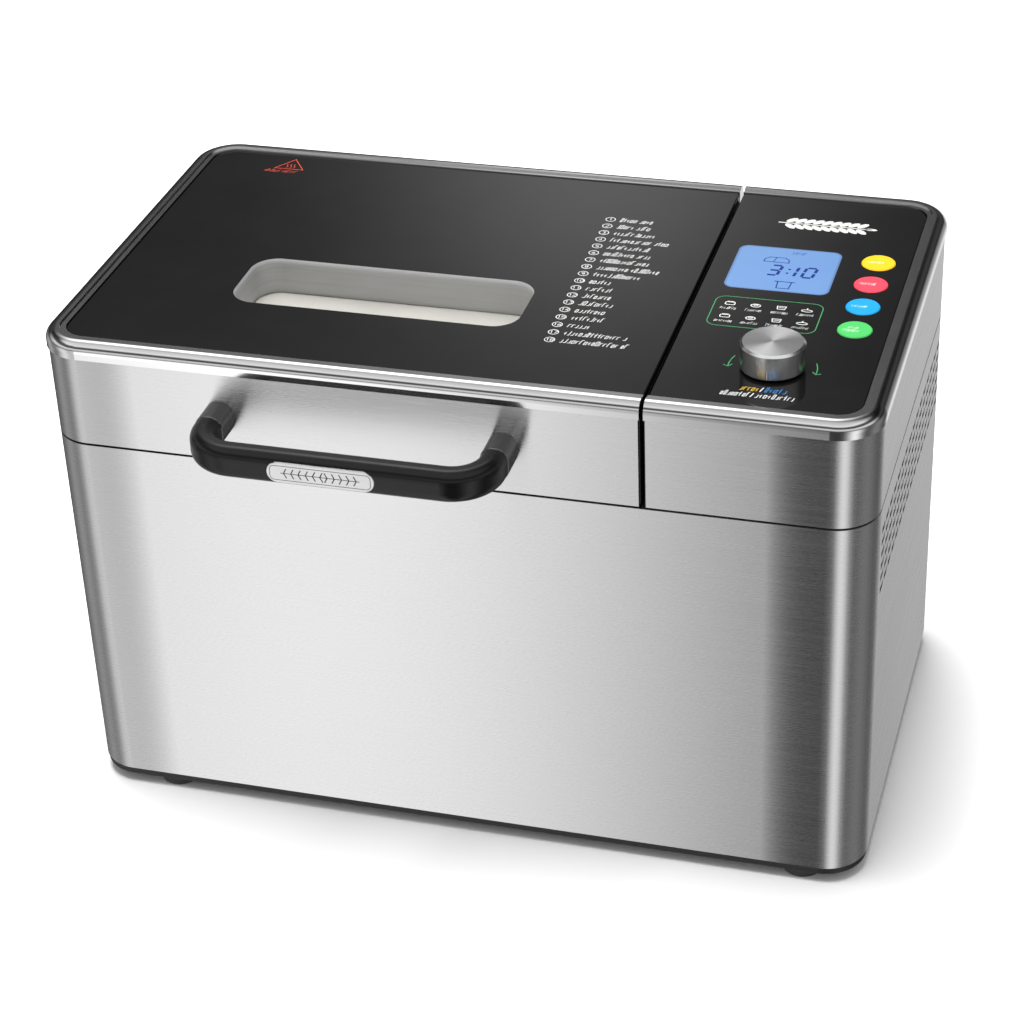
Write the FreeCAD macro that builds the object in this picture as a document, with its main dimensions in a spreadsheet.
"""Counter-top bread machine: a parametric FreeCAD model.

A brushed-steel housing stands on a plastic base. The left part of the top is a hinged lid with a
window, the right part is a fixed control head. A baking chamber hangs under the lid and holds a
bread pan, which a belt drive kneads from below.

Frame: +Z up, +X to the right as seen from the front, the front faces -Y. The origin is under the
middle of the machine's overall box, on the surface that it stands on. Lengths are millimetres.
"""
import FreeCAD, Part
import math
import os

import Sketcher
from FreeCAD import Vector

doc = FreeCAD.newDocument("bread_machine")
sheet = doc.addObject("Spreadsheet::Sheet", "dims")

# ----------------------------------------------------------------- driving dimensions
DIMENSIONS = [
    # housing
    ("body_width", 405.0, "steel housing, left to right"),
    ("body_depth", 236.0, "steel housing, front to back"),
    ("corner_radius", 21.5, "upright corners of the housing"),
    ("steel", 0.8, "sheet thickness of the housing"),
    ("hem", 3.0, "in-turned lower edge of the housing"),
    ("foot_height", 5.0, "rubber feet"),
    ("foot_radius", 11.0, "rubber feet"),
    ("foot_inset", 12.2, "foot centre to the housing's front and back"),
    ("foot_left", 43.5, "left feet, centre to the left side"),
    ("foot_right", 30.5, "right feet, centre to the right side"),
    ("base_band", 4.0, "plastic base showing under the steel"),
    ("base_inset", 0.6, "base set back from the steel"),
    ("base_wall", 2.0, "upstanding wall of the base"),
    ("base_wall_height", 16.0, "upstanding wall of the base"),
    ("seam_height", 206.0, "joint between the body and the top"),
    ("seam_gap", 1.2, "shadow gap at that joint"),
    ("slip", 0.3, "clearance between nested housings"),
    # vents
    ("vent_length", 9.0, "one vent slot"),
    ("vent_height", 3.0, "one vent slot"),
    ("vent_pitch_y", 11.9, "slot to slot along a row"),
    ("vent_pitch_z", 6.6, "row to row"),
    ("vent_columns", 16.0, "slots in a row"),
    ("vent_rows", 6.0, "rows of slots"),
    ("vent_drop", 27.0, "seam down to the first row"),
    ("vent_shift", 2.6, "vent field behind the middle of the side"),
    # rear panel
    ("panel_width", 344.0, "rear cover"),
    ("panel_height", 156.0, "rear cover"),
    ("panel_thickness", 1.0, "rear cover"),
    ("panel_low", 13.0, "rear cover, above the housing's lower edge"),
    ("panel_lap", 10.0, "rear cover over the edge of its opening"),
    ("screw_radius", 1.5, "cover screws"),
    ("screw_head", 3.2, "cover screws, head radius"),
    ("thread_fit", 0.05, "screw in its tapped hole, radial"),
    # cord gland
    ("gland_bore", 3.6, "gland's cable hole, radius"),
    ("gland_neck", 6.5, "gland's neck, radius"),
    ("gland_flange", 9.5, "gland's flanges, radius"),
    ("gland_length", 10.0, "gland, end to end"),
    ("gland_x", 150.0, "gland, right of the middle"),
    ("gland_z", 42.0, "gland, above the surface"),
    # top: rim, glass and the split between lid and head
    ("rim_line", 253.0, "top of the brushed skirt"),
    ("glass_top", 260.0, "top of the glass"),
    ("glass_thickness", 4.0, "glass panels"),
    ("rim_width", 9.4, "polished rim in plan"),
    ("rim_proud", 0.8, "rim standing out from the skirt"),
    ("rim_crest", 1.4, "rim's crest above the glass"),
    ("split_x", 95.5, "middle of the gap between lid and head"),
    ("split_gap", 2.0, "gap between lid and head"),
    ("split_flange", 2.0, "plastic edge showing beside the steel"),
    ("frame_wall", 2.2, "plastic inner frames"),
    ("frame_ledge", 13.0, "ledge that carries the glass"),
    # window and lid lining
    ("window_length", 146.0, "window, left to right"),
    ("window_width", 48.0, "window, front to back"),
    ("window_radius", 14.0, "window's corners"),
    ("window_shift_y", -34.3, "window in front of the lid's middle"),
    ("collar_wall", 1.5, "window collar"),
    ("collar_foot", 6.0, "window collar's foot"),
    ("pane_thickness", 3.0, "inner window pane"),
    ("liner_plate", 1.2, "lid lining"),
    ("liner_ceiling", 236.8, "underside of the lining's roof"),
    ("liner_length", 216.0, "lining's hollow, left to right"),
    ("liner_width", 166.0, "lining's hollow, front to back"),
    ("seal_gap", 0.1, "seal above the deck when the lid is shut"),
    ("seal_width", 5.0, "silicone seal"),
    ("seal_inset", 1.5, "seal outside the chamber's mouth"),
    # handle
    ("handle_shift", -39.7, "handle's middle, from the housing's middle"),
    ("post_spacing", 139.4, "handle posts, centre to centre"),
    ("handle_z", 230.0, "handle's axis above the surface"),
    ("post_length", 15.0, "handle posts"),
    ("grip_reach", 36.0, "grip's axis in front of the steel"),
    ("grip_bend", 18.0, "grip's bends, to its axis"),
    ("grip_height", 16.0, "grip's section"),
    ("grip_depth", 13.0, "grip's section"),
    ("badge_shift", -5.0, "plate left of the grip's middle"),
    ("badge_length", 52.0, "plate on the grip"),
    ("badge_height", 10.5, "plate on the grip"),
    ("badge_thickness", 1.2, "plate on the grip"),
    ("badge_proud", 0.3, "plate standing out from the grip"),
    # lid hinge
    ("hinge_stand", 6.0, "hinge axis behind the housing"),
    ("hinge_rise", 2.0, "hinge axis above the seam"),
    ("hinge_eye", 5.5, "radius of the hinge eyes"),
    ("hinge_pin", 2.0, "hinge pin radius"),
    ("hinge_play", 0.06, "radial play on the pin"),
    ("hinge_cheek", 4.0, "width of a bracket cheek"),
    ("hinge_arm", 12.0, "width of a hinge arm"),
    ("hinge_side_gap", 0.4, "arm to cheek"),
    ("hinge_plate", 3.0, "thickness of the hinge plates"),
    ("hinge_spread", 200.0, "hinge to hinge"),
    # controls, measured from the middle of the housing
    ("lcd_x", 132.8, "display centre"),
    ("lcd_y", 27.3, "display centre"),
    ("lcd_length", 51.5, "display window"),
    ("lcd_width", 46.5, "display window"),
    ("lcd_radius", 5.0, "display window's corners"),
    ("key_x", 177.0, "keys"),
    ("key_first_y", 43.2, "rearmost key"),
    ("key_pitch", 23.5, "key to key"),
    ("key_radius", 8.3, "keys"),
    ("key_gap", 0.3, "key to glass"),
    ("key_proud", 0.4, "key above the glass"),
    ("key_thickness", 5.0, "key cap"),
    ("key_flange", 1.1, "key's retaining flange beyond its cap"),
    ("key_travel", 0.6, "key stroke"),
    ("dial_x", 146.3, "dial"),
    ("dial_y", -70.8, "dial"),
    ("dial_radius", 15.2, "dial"),
    ("dial_height", 12.7, "dial"),
    ("dial_lift", 1.1, "dial above the glass"),
    ("dial_travel", 0.8, "dial stroke"),
    ("shaft_radius", 3.0, "dial shaft"),
    ("carrier_drop", 6.0, "glass underside down to the carrier's underside"),
    ("carrier_thickness", 3.0, "carrier plate under the head's glass"),
    ("board_front", 18.0, "control board behind the housing's front"),
    ("board_back", 46.0, "control board before the housing's back"),
    ("power_inset", 38.0, "middle of the power board before the housing's back"),
    ("board_drop", 12.0, "glass underside down to the control board"),
    ("board_thickness", 1.6, "circuit boards"),
    # baking chamber
    ("chamber_length", 226.0, "inside, left to right"),
    ("chamber_width", 176.0, "inside, front to back"),
    ("chamber_radius", 28.0, "inside corners"),
    ("chamber_wall", 0.8, "sheet"),
    ("chamber_floor", 50.0, "top of the chamber's floor"),
    ("deck_thickness", 4.0, "top frame around the chamber"),
    ("heater_radius", 3.25, "heater tube"),
    ("heater_inset", 10.0, "heater's axis to the chamber's wall"),
    ("heater_rise", 14.0, "heater's axis above the floor"),
    # pan
    ("pan_length", 182.0, "pan at its rim"),
    ("pan_width", 132.0, "pan at its rim"),
    ("pan_taper", 6.0, "pan narrows by this on each side"),
    ("pan_radius", 22.0, "pan's corners"),
    ("pan_wall", 1.2, "pan"),
    ("pan_bottom", 66.0, "underside of the pan"),
    ("pan_height", 130.0, "pan"),
    ("pan_rim", 3.5, "rim flange"),
    ("bail_wire", 2.5, "pan handle's wire, radius"),
    ("bail_pivot_drop", 9.0, "pivot below the pan's rim"),
    ("bail_reach", 64.0, "bail's bar in front of its pivots"),
    ("bail_bend", 18.0, "bail's corners"),
    # drive
    ("motor_x", 138.0, "motor shaft"),
    ("motor_radius", 38.0, "motor"),
    ("motor_height", 65.0, "motor"),
    ("pulley_big", 48.0, "driven pulley, belt radius"),
    ("pulley_small", 6.0, "motor pulley, belt radius"),
    ("belt_width", 10.0, "belt"),
    ("belt_thickness", 2.0, "belt"),
    ("belt_low", 17.0, "belt's lower edge"),
    ("belt_gap", 0.25, "belt to pulley"),
    ("spindle", 4.0, "drive and paddle shafts, radius"),
    ("running", 0.06, "radial clearance of turning shafts"),
    ("blade_reach", 44.0, "paddle's tip from its axis"),
]


class Size:
    """A length that carries its number and the spreadsheet formula that gives it."""

    def __init__(self, number, text):
        self.number = float(number)
        self.text = text

    def __float__(self):
        return self.number

    def __neg__(self):
        return Size(-self.number, "(-" + self.text + ")")

    def __add__(self, other):
        other = size(other)
        return Size(self.number + other.number, "(%s + %s)" % (self.text, other.text))

    def __sub__(self, other):
        other = size(other)
        return Size(self.number - other.number, "(%s - %s)" % (self.text, other.text))

    def __mul__(self, other):
        other = size(other)
        return Size(self.number * other.number, "(%s * %s)" % (self.text, other.text))

    def __truediv__(self, other):
        other = size(other)
        return Size(self.number / other.number, "(%s / %s)" % (self.text, other.text))

    def __radd__(self, other):
        return size(other) + self

    def __rsub__(self, other):
        return size(other) - self

    def __rmul__(self, other):
        return size(other) * self


def size(value):
    """A Size from a Size or a plain number."""
    if isinstance(value, Size):
        return value
    return Size(value, "%.6f" % value)


def fill_sheet():
    """Writes the driving dimensions and returns them by alias."""
    found = {}
    for row, (alias, number, note) in enumerate(DIMENSIONS, start=1):
        sheet.set("A%d" % row, alias)
        sheet.set("B%d" % row, repr(number))
        sheet.set("C%d" % row, note)
        sheet.setAlias("B%d" % row, alias)
    doc.recompute()
    for alias, _, _ in DIMENSIONS:
        found[alias] = Size(sheet.get(alias), "dims." + alias)
    return found


d = fill_sheet()

# ----------------------------------------------------------------- places worked out from them
half_width = d["body_width"] / 2
hinge_reach = d["hinge_stand"] + d["hinge_eye"]
grip_front = d["grip_reach"] + d["grip_depth"] / 2 + d["badge_proud"]
mid_y = (grip_front - hinge_reach) / 2
front = mid_y - d["body_depth"] / 2
back = mid_y + d["body_depth"] / 2
steel_low = d["foot_height"] + d["base_band"]
shell_top = d["seam_height"] - d["seam_gap"] / 2
skirt_low = d["seam_height"] + d["seam_gap"] / 2
lid_right = d["split_x"] - d["split_gap"] / 2
head_left = d["split_x"] + d["split_gap"] / 2
glass_low = d["glass_top"] - d["glass_thickness"]
half_depth = d["body_depth"] / 2
print_layer = Size(0.2, "0.2")
ledge_top = glass_low - print_layer
frame_low = skirt_low + 0.6
lid_mid_x = (d["split_x"] - half_width) / 2
pan_x = lid_mid_x
deck_low = shell_top - d["deck_thickness"]
chamber_top = deck_low
pan_top = d["pan_bottom"] + d["pan_height"]
axle_z = d["seam_height"] + d["hinge_rise"]
axle_y = back + d["hinge_stand"]
liner_low = skirt_low + 0.8
belt_top = d["belt_low"] + d["belt_width"]
carrier_low = glass_low - d["carrier_drop"]
carrier_top = carrier_low + d["carrier_thickness"]
board_low = glass_low - d["board_drop"]
board_top = board_low + d["board_thickness"]
crest_z = d["glass_top"] + d["rim_crest"]
pane_low = d["liner_ceiling"] + d["liner_plate"]
collar_low = pane_low + d["pane_thickness"]


# ----------------------------------------------------------------- modelling helpers
def bind(item, **formulas):
    """Ties properties of an object to spreadsheet formulas. A double underscore stands for a dot."""
    for name, value in formulas.items():
        item.setExpression(name.replace("__", "."), size(value).text)


def new_body(label, x=0.0, y=0.0, z=0.0):
    """An empty PartDesign body whose placement is tied to the sheet."""
    body = doc.addObject("PartDesign::Body", label)
    body.Label = label
    bind(body, Placement__Base__x=x, Placement__Base__y=y, Placement__Base__z=z)
    return body


def new_sketch(body, role="XY_Plane", level=0.0):
    """A sketch on one of the body's own planes, moved along that plane's normal."""
    sketch = body.newObject("Sketcher::SketchObject", body.Label + "_sketch")
    plane = [f for f in body.Origin.OriginFeatures if f.Role == role][0]
    sketch.AttachmentSupport = [(plane, "")]
    sketch.MapMode = "FlatFace"
    bind(sketch, AttachmentOffset__Base__z=level)
    return sketch


def set_values(sketch, rules):
    """Adds dimensional constraints and ties each to its formula."""
    for rule, value in rules:
        index = sketch.addConstraint(Sketcher.Constraint(*rule, float(value)))
        sketch.setExpression("Constraints[%d]" % index, value.text)


ORIGIN = (-1, 1)


def draw_rectangle(sketch, x0, x1, y0, y1, radius=None, square=()):
    """A rectangle with rounded corners. square names the sides, 'left' or 'right', that stay sharp."""
    x0, x1, y0, y1 = size(x0), size(x1), size(y0), size(y1)
    corners = [("right", x1, y0), ("right", x1, y1), ("left", x0, y1), ("left", x0, y0)]
    turns = [(1, 1), (1, -1), (-1, -1), (-1, 1)]
    rounded = [radius is not None and side not in square for side, _, _ in corners]
    spots = []
    for (_, cx, cy), (sx, sy), is_round in zip(corners, turns, rounded):
        r = float(radius) if is_round else 0.0
        spots.append((float(cx) - sx * r, float(cy) + sy * r, float(cx), float(cy), r))
    arrive = [(0, 1), (1, 0), (0, 1), (1, 0)]
    ends, starts = [], []
    for (mx, my, cx, cy, r), (along_x, _) in zip(spots, arrive):
        ends.append((mx, cy) if not along_x else (cx, my))
        starts.append((cx, my) if not along_x else (mx, cy))
    first = sketch.GeometryCount
    for k in range(4):
        a, b = starts[k - 1], ends[k]
        sketch.addGeometry(Part.LineSegment(Vector(a[0], a[1], 0), Vector(b[0], b[1], 0)), False)
    lines = [first, first + 1, first + 2, first + 3]
    rules = []
    arcs = []
    for k in range(4):
        after = lines[(k + 1) % 4]
        if rounded[k]:
            mx, my, _, _, r = spots[k]
            circle = Part.Circle(Vector(mx, my, 0), Vector(0, 0, 1), r)
            begin = math.radians(-90 + 90 * k)
            sketch.addGeometry(Part.ArcOfCircle(circle, begin, begin + math.pi / 2), False)
            arc = sketch.GeometryCount - 1
            arcs.append(arc)
            rules.append(Sketcher.Constraint("Tangent", lines[k], 2, arc, 1))
            rules.append(Sketcher.Constraint("Tangent", arc, 2, after, 1))
        else:
            rules.append(Sketcher.Constraint("Coincident", lines[k], 2, after, 1))
    for k, kind in enumerate(("Horizontal", "Vertical", "Horizontal", "Vertical")):
        rules.append(Sketcher.Constraint(kind, lines[k]))
    for arc in arcs[1:]:
        rules.append(Sketcher.Constraint("Equal", arcs[0], arc))
    sketch.addConstraint(rules)
    values = [
        (("DistanceX", *ORIGIN, lines[3], 1), x0),
        (("DistanceX", *ORIGIN, lines[1], 1), x1),
        (("DistanceY", *ORIGIN, lines[0], 1), y0),
        (("DistanceY", *ORIGIN, lines[2], 1), y1),
    ]
    if arcs:
        values.append((("Radius", arcs[0]), size(radius)))
    set_values(sketch, values)


def draw_circle(sketch, x, y, radius):
    """A circle with its centre tied to the sheet."""
    x, y, radius = size(x), size(y), size(radius)
    circle = Part.Circle(Vector(float(x), float(y), 0), Vector(0, 0, 1), float(radius))
    index = sketch.addGeometry(circle, False)
    set_values(sketch, [
        (("DistanceX", *ORIGIN, index, 3), x),
        (("DistanceY", *ORIGIN, index, 3), y),
        (("Radius", index), radius),
    ])


def draw_polygon(sketch, points):
    """A closed outline of straight sides with every corner tied to the sheet."""
    points = [(size(x), size(y)) for x, y in points]
    spots = [Vector(float(x), float(y), 0) for x, y in points]
    first = sketch.GeometryCount
    count = len(points)
    for k in range(count):
        sketch.addGeometry(Part.LineSegment(spots[k], spots[(k + 1) % count]), False)
    sketch.addConstraint([
        Sketcher.Constraint("Coincident", first + k, 2, first + (k + 1) % count, 1)
        for k in range(count)
    ])
    values = []
    for k, (x, y) in enumerate(points):
        values.append((("DistanceX", *ORIGIN, first + k, 1), x))
        values.append((("DistanceY", *ORIGIN, first + k, 1), y))
    set_values(sketch, values)


def pad(body, sketch, length):
    """Adds material along the sketch's normal."""
    feature = body.newObject("PartDesign::Pad", body.Label + "_pad")
    feature.Profile = sketch
    bind(feature, Length=length)
    body.Tip = feature
    return feature


def pocket(body, sketch, length):
    """Cuts material against the sketch's normal, and makes sure that something was cut."""
    doc.recompute()
    before = body.Shape.Volume
    feature = body.newObject("PartDesign::Pocket", body.Label + "_pocket")
    feature.Profile = sketch
    bind(feature, Length=length)
    body.Tip = feature
    doc.recompute()
    if body.Shape.Volume > before - 1e-6:
        raise RuntimeError(body.Label + ": a pocket cuts nothing")
    return feature


def pad_box(body, x0, x1, y0, y1, z0, z1, radius=None, square=()):
    """A block with rounded upright edges."""
    sketch = new_sketch(body, level=z0)
    draw_rectangle(sketch, x0, x1, y0, y1, radius, square)
    return pad(body, sketch, size(z1) - size(z0))


def cut_box(body, x0, x1, y0, y1, z0, z1, radius=None, square=()):
    """Takes a block with rounded upright edges out of the body."""
    sketch = new_sketch(body, level=z1)
    draw_rectangle(sketch, x0, x1, y0, y1, radius, square)
    return pocket(body, sketch, size(z1) - size(z0))


def cut_holes(body, spots, radius, z0, z1):
    """Upright round holes."""
    sketch = new_sketch(body, level=z1)
    for x, y in spots:
        draw_circle(sketch, x, y, radius)
    return pocket(body, sketch, size(z1) - size(z0))


def round_edges(body, radius, wanted, kind="PartDesign::Fillet"):
    """Rounds or chamfers the edges that wanted() picks."""
    doc.recompute()
    tip = body.Tip
    names = ["Edge%d" % n for n, e in enumerate(tip.Shape.Edges, start=1) if wanted(e)]
    if not names:
        raise RuntimeError(body.Label + ": no edge to round")
    feature = body.newObject(kind, body.Label + "_edges")
    feature.Base = (tip, names)
    if kind.endswith("Fillet"):
        bind(feature, Radius=radius)
    else:
        bind(feature, Size=radius)
    body.Tip = feature
    return feature


def at_height(z):
    """Picks edges that lie flat at a height of the body's own frame."""
    def wanted(edge):
        box = edge.BoundBox
        return abs(box.ZMin - float(z)) < 1e-3 and abs(box.ZMax - float(z)) < 1e-3
    return wanted


def turned(label, outline, x=0.0, y=0.0, z=0.0):
    """A body turned about the upright axis from corners given as radius and height."""
    body = new_body(label, x, y, z)
    sketch = new_sketch(body, "XZ_Plane")
    draw_polygon(sketch, outline)
    feature = body.newObject("PartDesign::Revolution", label + "_turn")
    feature.Profile = sketch
    feature.ReferenceAxis = (sketch, ["V_Axis"])
    feature.Angle = 360.0
    body.Tip = feature
    return body


def path_wire(points, radii):
    """Straight runs through the points, joined by tangent arcs at the inner ones."""
    corners = [Vector(*[float(c) for c in p]) for p in points]
    edges = []
    start = corners[0]
    for k in range(1, len(corners) - 1):
        into = (corners[k] - corners[k - 1]).normalize()
        away = (corners[k + 1] - corners[k]).normalize()
        turn = into.getAngle(away)
        trim = float(radii[k - 1]) * math.tan(turn / 2)
        a = corners[k] - into * trim
        b = corners[k] + away * trim
        bisector = (away - into).normalize()
        centre = corners[k] + bisector * (float(radii[k - 1]) / math.cos(turn / 2))
        middle = centre - bisector * float(radii[k - 1])
        edges.append(Part.LineSegment(start, a).toShape())
        edges.append(Part.Arc(a, middle, b).toShape())
        start = b
    edges.append(Part.LineSegment(start, corners[-1]).toShape())
    return Part.Wire(edges)


def tube(points, radii, radius):
    """A round rod along a path."""
    path = path_wire(points, radii)
    first = path.Edges[0]
    heading = first.tangentAt(first.FirstParameter)
    section = Part.Wire(Part.Circle(first.valueAt(first.FirstParameter), heading, float(radius)).toShape())
    return path.makePipeShell([section], True, False)


def feature_of(label, shape):
    """A plain feature that holds a shape made with Part's own functions."""
    item = doc.addObject("Part::Feature", label)
    item.Label = label
    item.Shape = shape
    return item


def block(x0, x1, y0, y1, z0, z1):
    """A sharp-edged block as a shape."""
    low = [float(v) for v in (x0, y0, z0)]
    high = [float(v) for v in (x1, y1, z1)]
    return Part.makeBox(high[0] - low[0], high[1] - low[1], high[2] - low[2], Vector(*low))


def rod(x, y, z0, z1, radius):
    """An upright cylinder as a shape."""
    x, y, z0, z1, radius = [float(v) for v in (x, y, z0, z1, radius)]
    return Part.makeCylinder(radius, z1 - z0, Vector(x, y, z0))


def rod_y(x, z, y0, y1, radius):
    """A cylinder along Y as a shape."""
    x, z, y0, y1, radius = [float(v) for v in (x, z, y0, y1, radius)]
    return Part.makeCylinder(radius, y1 - y0, Vector(x, y0, z), Vector(0, 1, 0))


def rod_x(y, z, x0, x1, radius):
    """A cylinder along X as a shape."""
    y, z, x0, x1, radius = [float(v) for v in (y, z, x0, x1, radius)]
    return Part.makeCylinder(radius, x1 - x0, Vector(x0, y, z), Vector(1, 0, 0))


pieces = []


def keep(item):
    """Lists an object as a sub-part that is written to its own file."""
    pieces.append(item)
    return item


def repeat_along(body, feature, role, span, count, backwards=False):
    """Repeats a feature in a row; span is the distance from the first to the last."""
    doc.recompute()
    pattern = body.newObject("PartDesign::LinearPattern", body.Label + "_row")
    pattern.Originals = [feature]
    axis = [f for f in body.Origin.OriginFeatures if f.Role == role][0]
    pattern.Direction = (axis, [""])
    pattern.Reversed = backwards
    bind(pattern, Length=span, Occurrences=count)
    body.Tip = pattern
    doc.recompute()
    return pattern


def sector(x, y, z0, z1, inner, outer, middle, spread):
    """Part of a ring, as a shape: middle and spread are degrees."""
    x, y, z0, z1, inner, outer = [float(v) for v in (x, y, z0, z1, inner, outer)]
    whole = Part.makeCylinder(outer, z1 - z0, Vector(x, y, z0), Vector(0, 0, 1), spread)
    hollow = Part.makeCylinder(inner, z1 - z0 + 2, Vector(x, y, z0 - 1))
    shape = whole.cut(hollow)
    shape.rotate(Vector(x, y, 0), Vector(0, 0, 1), middle - spread / 2)
    return shape


def solids_of(shapes):
    """Several separate solids in one shape."""
    return Part.makeCompound([solid for shape in shapes for solid in shape.Solids])


# ----------------------------------------------------------------- housing, base and feet
def make_housing():
    """The brushed sheet wrapped round the body, with a hemmed lower edge and vents."""
    body = new_body("housing", 0, mid_y, 0)
    steel, round_ = d["steel"], d["corner_radius"]
    lip = steel + d["hem"]
    pad_box(body, -half_width, half_width, -half_depth, half_depth, steel_low, shell_top, round_)
    cut_box(body, steel - half_width, half_width - steel, steel - half_depth, half_depth - steel,
            steel_low + steel, shell_top, round_ - steel)
    cut_box(body, lip - half_width, half_width - lip, lip - half_depth, half_depth - lip,
            steel_low, steel_low + steel, round_ - lip)
    window = new_sketch(body, "XZ_Plane", 4 - half_depth)
    lap = d["panel_lap"]
    low = steel_low + d["panel_low"]
    draw_rectangle(window, lap - d["panel_width"] / 2, d["panel_width"] / 2 - lap,
                   low + lap, low + d["panel_height"] - lap, 6)
    for x in cover_screw_spots()[0]:
        for z in cover_screw_spots()[1]:
            draw_circle(window, x, z, d["screw_radius"] + d["thread_fit"])
    pocket(body, window, 8)
    vents = new_sketch(body, "YZ_Plane", half_width + 1)
    reach = d["vent_pitch_y"] * (d["vent_columns"] - 1)
    first = d["vent_shift"] - (reach + d["vent_length"]) / 2
    for row in range(int(float(d["vent_rows"]))):
        top = d["seam_height"] - d["vent_drop"] / 2 - d["vent_pitch_z"] * row
        draw_rectangle(vents, first, first + d["vent_length"], top - d["vent_height"], top)
    cut = pocket(body, vents, 3)
    repeat_along(body, cut, "Y_Axis", reach, d["vent_columns"])
    return keep(body)


def make_base():
    """The plastic base: a floor with an upstanding wall inside the steel, and pegs on it."""
    body = new_body("base", 0, mid_y, 0)
    inset = d["base_inset"]
    pad_box(body, inset - half_width, half_width - inset, inset - half_depth, half_depth - inset,
            d["foot_height"], steel_low, d["corner_radius"] - inset)
    out = d["steel"] + d["hem"] + d["slip"]
    pad_box(body, out - half_width, half_width - out, out - half_depth, half_depth - out,
            steel_low, steel_low + d["base_wall_height"], d["corner_radius"] - out)
    inn = out + d["base_wall"]
    cut_box(body, inn - half_width, half_width - inn, inn - half_depth, half_depth - inn,
            steel_low, steel_low + d["base_wall_height"], d["corner_radius"] - inn)
    pegs = new_sketch(body, level=steel_low)
    for x, y in board_pegs():
        draw_circle(pegs, x, y, 4)
    pad(body, pegs, power_low - steel_low)
    thrust = new_sketch(body, level=steel_low)
    draw_circle(thrust, pan_x, 0, 10)
    pad(body, thrust, shaft_low - steel_low - 0.3)
    round_edges(body, 0.6, at_height(d["foot_height"]))
    return keep(body)


def board_pegs():
    """Places of the four pegs under the power board, from the middle of the housing."""
    x0, x1 = power_x - 42, power_x + 42
    y0, y1 = power_y - 16, power_y + 16
    return [(x0, y0), (x1, y0), (x1, y1), (x0, y1)]


def make_feet():
    """Four rubber feet in one piece list entry."""
    shapes = []
    for x in (d["foot_left"] - half_width, half_width - d["foot_right"]):
        for y in (mid_y + d["foot_inset"] - half_depth, mid_y + half_depth - d["foot_inset"]):
            r = float(d["foot_radius"])
            spot = Vector(float(x), float(y), 0)
            foot = Part.makeCone(r - 1.0, r, float(d["foot_height"]), spot)
            low = [e for e in foot.Edges if e.BoundBox.ZMax < 1e-6]
            shapes.append(foot.makeFillet(0.8, low))
    return keep(feature_of("feet", solids_of(shapes)))


def make_rear_cover():
    """The flat cover on the back, with two fields of vents and a hole for the gland."""
    body = new_body("rear_cover", 0, back, 0)
    low = steel_low + d["panel_low"]
    sheet_out = new_sketch(body, "XZ_Plane", -d["panel_thickness"])
    draw_rectangle(sheet_out, -d["panel_width"] / 2, d["panel_width"] / 2, low,
                   low + d["panel_height"], 8)
    pad(body, sheet_out, d["panel_thickness"])
    hole = new_sketch(body, "XZ_Plane", 2)
    draw_circle(hole, d["gland_x"], d["gland_z"], d["gland_neck"] + 0.15)
    for x in cover_screw_spots()[0]:
        for z in cover_screw_spots()[1]:
            draw_circle(hole, x, z, d["screw_radius"] + 0.3)
    pocket(body, hole, 6)
    vents = new_sketch(body, "XZ_Plane", 2)
    for row in range(7):
        z = low + d["panel_height"] - 34 - 8 * row
        draw_rectangle(vents, 20, 32, z - 3, z)
    cut = pocket(body, vents, 6)
    repeat_along(body, cut, "X_Axis", 16 * 7, 8)
    return keep(body)


def cover_screw_spots():
    """Places of the cover's screws: across, and up."""
    side = d["panel_width"] / 2 - 5
    low = steel_low + d["panel_low"] + 5
    return [-side, Size(0, "0"), side], [low, low + d["panel_height"] - 10]


def make_cover_screws():
    """Six pan-head screws through the rear cover."""
    shapes = []
    across, up = cover_screw_spots()
    y = float(back + d["panel_thickness"])
    for x in across:
        for z in up:
            head = Part.makeCone(float(d["screw_head"]), float(d["screw_head"]) - 1.0, 1.8,
                                 Vector(float(x), y, float(z)), Vector(0, 1, 0))
            shank = rod_y(x, z, y - 9, y, d["screw_radius"])
            slot = block(float(x) - 2.2, float(x) + 2.2, y + 1.0, y + 3, float(z) - 0.4, float(z) + 0.4)
            shapes.append(head.fuse(shank).cut(slot).removeSplitter())
    return keep(feature_of("cover_screws", solids_of(shapes)))


def make_gland():
    """The cable gland: a grooved plastic bush in the rear cover."""
    neck, flange, bore = d["gland_neck"], d["gland_flange"], d["gland_bore"]
    groove = d["panel_thickness"] + 0.2
    body = new_body("cord_gland", d["gland_x"], back, d["gland_z"])
    sketch = new_sketch(body, "XY_Plane")
    tail = d["gland_length"] - 3.4
    draw_polygon(sketch, [
        (bore, -tail), (neck, -tail), (neck, -3), (flange - 1, -3), (flange - 1, -0.1),
        (neck, -0.1), (neck, groove - 0.1), (flange, groove - 0.1), (flange, 2.4), (neck + 1, 3.4),
        (bore, 3.4)])
    feature = body.newObject("PartDesign::Revolution", "cord_gland_turn")
    feature.Profile = sketch
    feature.ReferenceAxis = (sketch, ["V_Axis"])
    feature.Angle = 360.0
    body.Tip = feature
    return keep(body)


# ----------------------------------------------------------------- deck and baking chamber
def make_deck():
    """The plastic frame on top of the body, round the chamber's mouth."""
    body = new_body("deck", 0, mid_y, 0)
    out = d["steel"] + d["slip"]
    pad_box(body, out - half_width, half_width - out, out - half_depth, half_depth - out,
            deck_low, shell_top, d["corner_radius"] - out)
    cut_box(body, pan_x - d["chamber_length"] / 2, pan_x + d["chamber_length"] / 2,
            -d["chamber_width"] / 2, d["chamber_width"] / 2, deck_low, shell_top,
            d["chamber_radius"])
    cut_holes(body, [(d["dial_x"], 70)], 9, deck_low, shell_top)
    return keep(body)


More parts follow.
